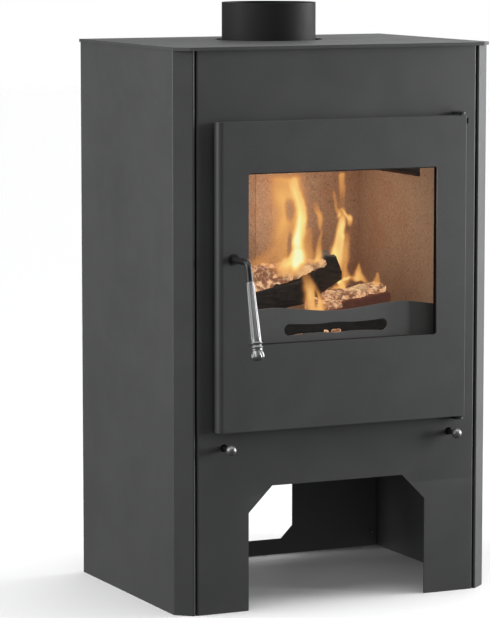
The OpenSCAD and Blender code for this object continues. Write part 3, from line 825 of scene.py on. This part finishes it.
def outline_loop(outline):
    """LOG_AROUND points spread evenly over the sides of an outline."""
    corners = [Vector(corner) for corner in outline]
    loop = []
    for j in range(LOG_AROUND):
        s = len(corners) * j / LOG_AROUND
        i = int(s)
        loop.append(corners[i].lerp(corners[(i + 1) % len(corners)], s - i))
    return loop


def end_rounding(t):
    return END_SHRINK * max(0.0, 1 - t * END_ROUNDING) ** 2


def make_log(name, start, end, outline, look, rough, seed, coals=0.0, taper=1.0):
    """A split log between two places: an outline in millimetres that shrinks to taper of its size.
    coals is the size in millimetres of the coals that its surface is broken into."""
    start, end = Vector(start), Vector(end)
    axis = (end - start).normalized()
    side = axis.cross(Vector((0, 0, 1))).normalized()
    up = side.cross(axis)
    rings = max(FEWEST_RINGS, round((end - start).length / LOG_STEP))
    loop = outline_loop(outline)
    verts, rims, tones, hots = [], [], [], []
    for i in range(rings):
        t = i / (rings - 1)
        centre = start.lerp(end, t)
        shrink = (1 + (taper - 1) * t) * (1 - end_rounding(t) - end_rounding(1 - t))
        for p in loop:
            base = centre + side * p.x * MM * shrink + up * p.y * MM * shrink
            out = (side * p.x + up * p.y).normalized()
            swell = noise.fractal(base * SWELLS + Vector((seed, 0, 0)), 1.0, 2.0, 4) * rough
            inside, tone = 0.0, 0.5
            if coals:
                inside, tone = lump(base, coals, seed)
                swell += coals * COAL_HEIGHT * (math.sqrt(inside) - 0.5)
            vert = base + out * swell * MM
            verts.append(vert)
            rims.append(1 - inside)
            tones.append(tone)
            hots.append(hot_share(vert))
    log = link_mesh(name, verts, capped_faces(rings, LOG_AROUND))
    store(log, "coal_rim", rims)
    store(log, "coal_tone", tones)
    store(log, "coal_hot", hots)
    log.data.materials.append(look)


# Outlines of the logs and crusts across their length, in millimetres.
SPLIT_LOG = [(-24, 18), (8, 26), (26, 8), (20, -26), (-20, -30)]
END_LOG = [(24, -12), (20, 11), (5, 30), (-13, 28), (-25, 3), (-25, -10), (2, -27), (14, -34)]
SMALL_LOG = [(-20, 12), (0, 18), (22, 10), (20, -22), (-20, -22)]
THICK_CRUST = [(-20, 16), (0, 27), (18, 18), (22, -22), (-20, -24)]
THIN_CRUST = [(-16, 5), (0, 9), (16, 4), (18, -7), (-18, -7)]
SLIVER = [(-3, 2), (0, 3), (3, 2), (3, -2), (-3, -2)]

# Look, start, end, outline, roughness and seed of every log of the fire.
LOGS = {
    "log_left": ("char", (-150, 150, 458), (24, 132, 488), SPLIT_LOG, 2.5, 1.0),
    "log_left_end": ("char", (52, 170, 507), (45, 128, 500), END_LOG, 1.5, 7.0),
    "log_right": ("red_char", (15, 100, 446), (148, 134, 458), SMALL_LOG, 2.5, 4.0),
    # log_front and log_corner wear the near-black soot_and_shade wood, partly painted shade; log_corner
    # stands beside the guard's right end as a dark piece in place of the shade there.
    "log_front": ("soot_and_shade", (-158, 56, 427), (150, 58, 426), SMALL_LOG, 2.0, 5.0),
    "log_corner": ("soot_and_shade", (160, 36, 405), (160, 38, 452), SMALL_LOG, 2.0, 6.0),
}

# Start, end, outline, roughness, seed, coal size and taper of every glowing crust.
CRUSTS = {
    "crust_left": ((-112, 142, 488), (37, 120, 521), THICK_CRUST, 3.5, 2.0, 7.5, 0.24),
    "crust_right": ((26, 94, 468), (140, 126, 477), THIN_CRUST, 3.5, 3.0, 7.0, 0.85),
    "embers": ((-8, 90, 456), (44, 88, 461), THIN_CRUST, 4.0, 6.0, 10.0, 1.0),
    "ember_bit_a": ((-66, 22, 420), (-50, 22, 421), SLIVER, 1.0, 11.0, 4.0, 0.6),
    "ember_bit_b": ((-14, 22, 424), (-8, 22, 424), SLIVER, 1.0, 12.0, 4.0, 1.0),
    "ember_bit_c": ((-1, 22, 422), (13, 22, 424), SLIVER, 1.5, 13.0, 5.0, 1.3),
}

# Depth, tongues as (x, z, half width, strength) points from root to tip, and gaps of every flame.
FLAMES = {
    "flame_left": (
        108,
        [
            [(-35, 520, 30, 0.35), (-35, 600, 29, 0.48), (-37, 655, 27, 0.55)],
            [(-15, 515, 12, 0.3), (-18, 560, 11, 0.55), (-12, 605, 9, 0.5), (-25, 650, 9, 0.15)],
            [(-35, 505, 22, 0.3), (-25, 525, 22, 0.4), (-15, 545, 10, 0.2)],
            [(-85, 520, 18, 0.3), (-65, 550, 9, 0.1)],
            [(3, 522, 11, 0.4), (0, 575, 7, 0.2)],
            [(20, 522, 7, 0.6), (22, 570, 2, 0.2)],
            [(21, 575, 3, 0.3), (20, 592, 5, 0.45), (14, 614, 7, 0.15)],
        ],
        [(-35, 608, 8, 15), (-35, 555, 4, 18)],
    ),
    "flame_right": (
        136,
        [
            [(76, 474, 6, 0.8), (62, 525, 11, 0.75), (64, 550, 11, 0.75), (70, 575, 8, 0.75),
             (72, 600, 8, 0.3)],
            [(87, 575, 4, 0.3), (86, 586, 6, 0.55), (72, 602, 5, 0.1)],
            [(78, 498, 6, 0.3), (81, 530, 9, 0.45), (80, 560, 7, 0.25)],
            [(64, 592, 4, 0.35), (57, 628, 3, 0.2)],
            [(73, 611, 5, 0.1), (76, 655, 7, 0.5)],
        ],
        [],
    ),
    "flame_low": (
        116,
        [
            [(98, 487, 11, 0.5), (97, 502, 6, 0.5), (97, 515, 2, 0.3)],
            [(75, 490, 8, 0.5), (73, 520, 2, 0.2)],
            [(58, 479, 16, 0.5), (80, 493, 11, 0.3)],
        ],
        [],
    ),
    "flame_corner": (114, [[(119, 474, 14, 0.45), (126, 498, 3, 0.3)]], []),
    "flame_front": (
        74,
        [[(-3, 440, 17, 0.6), (-9, 476, 13, 0.55), (-22, 514, 5, 0.15)]],
        [(-4, 470, 2.5, 14)],
    ),
}


# Name, dark, middle and pale tone of every wood, and its painted glow where it has one.
WOODS = {
    "char": ("charred_wood", (0.038, 0.034, 0.028), (0.07, 0.062, 0.05), (0.13, 0.1, 0.072)),
    "red_char": (
        "smouldering_wood",
        (0.07, 0.03, 0.021),
        (0.15, 0.064, 0.044),
        (0.24, 0.105, 0.07),
        (0.3, 0.1, 0.06),
    ),
    # Near-black wood: soot, darkened further as painted shade.
    "soot_and_shade": ("sooty_wood", (0.004, 0.004, 0.004), (0.009, 0.009, 0.0085), (0.02, 0.017, 0.014)),
}


def make_fire():
    crust, flame = ember_look(), flame_look()
    woods = {key: charred(*tones) for key, tones in WOODS.items()}
    for name, (wood, start, end, outline, rough, seed) in LOGS.items():
        make_log(name, at(*start), at(*end), outline, woods[wood], rough, seed)
    for name, (start, end, outline, rough, seed, coals, taper) in CRUSTS.items():
        make_log(name, at(*start), at(*end), outline, crust, rough, seed, coals, taper)
    for index, (name, (depth, tongues, gaps)) in enumerate(FLAMES.items()):
        make_flame(name, depth, tongues, gaps, flame, index + 1.0)


# ---------- Room ----------

FLOOR_HALF = 14.0


def make_floor():
    """A plain pale floor, much wider than the picture."""
    near, far = -FLOOR_HALF, FLOOR_HALF
    mesh = bpy.data.meshes.new("floor")
    corners = [(near, near, 0), (far, near, 0), (far, far, 0), (near, far, 0)]
    mesh.from_pydata(corners, [], [(0, 1, 2, 3)])
    floor = bpy.data.objects.new("floor", mesh)
    bpy.context.scene.collection.objects.link(floor)
    look = Look("floor_white", grey(0.9), 0.7)
    cloud = look.noise(400 * MM, 2.0)
    look.colour(look.ramp(cloud, (0.0, grey(0.895)), (1.0, grey(0.905))))
    mesh.materials.append(look.material)
    floor.visible_diffuse = False
    floor.visible_glossy = False


def put_light(name, data, place, direction):
    """Puts a light at a place in metres, shining along a direction and unseen itself."""
    light = bpy.data.objects.new(name, data)
    light.location = place
    light.rotation_euler = Vector(direction).to_track_quat("-Z", "Y").to_euler()
    bpy.context.scene.collection.objects.link(light)
    light.visible_camera = False


def softbox(name, place, aim, size, power):
    """A rectangular light at a place in metres, aimed at another."""
    data = bpy.data.lights.new(name, "AREA")
    data.shape = "RECTANGLE"
    data.size, data.size_y = size
    data.energy = power
    put_light(name, data, place, Vector(aim) - Vector(place))


FIRELIGHT = (1.0, 0.88, 0.78)
FIRELIGHT_RADIUS = 0.05


def firelight(name, place, power):
    """The light that the flames throw on the bricks."""
    data = bpy.data.lights.new(name, "POINT")
    data.energy = power
    data.shadow_soft_size = FIRELIGHT_RADIUS
    data.color = FIRELIGHT
    put_light(name, data, place, (0, 0, -1))


def soft_sun(name, turn, height, spread, strength):
    """A broad far light from turn degrees right of the front and height degrees above the floor."""
    data = bpy.data.lights.new(name, "SUN")
    data.energy = strength
    data.angle = math.radians(spread)
    across, up = math.radians(turn), math.radians(height)
    source = (math.sin(across) * math.cos(up), -math.cos(across) * math.cos(up), math.sin(up))
    put_light(name, data, source, -Vector(source))


WORLD_STRENGTH = 0.12


def make_world():
    """Faint white light from all round, and plain white where the camera sees past the floor."""
    world = bpy.data.worlds.new("world")
    bpy.context.scene.world = world
    world.use_nodes = True
    tree = world.node_tree
    background = tree.nodes["Background"]
    background.inputs["Color"].default_value = (1.0, 1.0, 1.0, 1.0)
    background.inputs["Strength"].default_value = WORLD_STRENGTH
    seen = tree.nodes.new("ShaderNodeBackground")
    seen.inputs["Strength"].default_value = 1.0
    seen.inputs["Color"].default_value = (1.0, 1.0, 1.0, 1.0)
    path = tree.nodes.new("ShaderNodeLightPath")
    mix = tree.nodes.new("ShaderNodeMixShader")
    tree.links.new(path.outputs["Is Camera Ray"], mix.inputs[0])
    tree.links.new(background.outputs[0], mix.inputs[1])
    tree.links.new(seen.outputs[0], mix.inputs[2])
    tree.links.new(mix.outputs[0], tree.nodes["World Output"].inputs["Surface"])


# Turn, height, spread in degrees and strength of every broad far light.
SUNS = {
    "right": (85, 12, 40, 3.4),
    "left": (-90, 25, 50, 1.0),
    "left_rear": (-125, 20, 50, 0.2),
    "above": (0, 88, 60, 1.8),
    "right_rear": (130, 25, 50, 0.45),
    "front_right": (56, 5, 8, 0.3),
}

# Place, aim, size and power of every near light.
SOFTBOXES = {
    "right_strip": ((0.7, -0.3, 0.6), (0.15, -0.16, 0.5), (0.2, 0.9), 1.7),
    "door_strip": ((0.95, -0.72, 0.6), (0.1, -0.14, 0.42), (0.15, 0.6), 2.0),
    "left_panel": ((-1.6, 0.3, 0.9), (-0.27, 0.0, 0.45), (0.8, 1.2), 10.0),
    "store_fill": ((0.05, -0.02, 0.18), (0.05, -0.02, 0.0), (0.4, 0.3), 0.08),
}


def make_lights():
    for name, settings in SUNS.items():
        soft_sun(name, *settings)
    for name, settings in SOFTBOXES.items():
        softbox(name, *settings)
    firelight("fire_left", at(-60, 150, 590), 0.3)
    firelight("fire_right", at(30, 165, 610), 0.5)


# ---------- The scene ----------

make_camera()
for name, slot in slot_of_nodes().items():
    dress(nodes[name], OWN_LOOKS.get(name, slot))
make_handle()
make_rope()
make_fire()
make_floor()
make_lights()
make_world()
bpy.context.scene.view_settings.view_transform = "Standard"
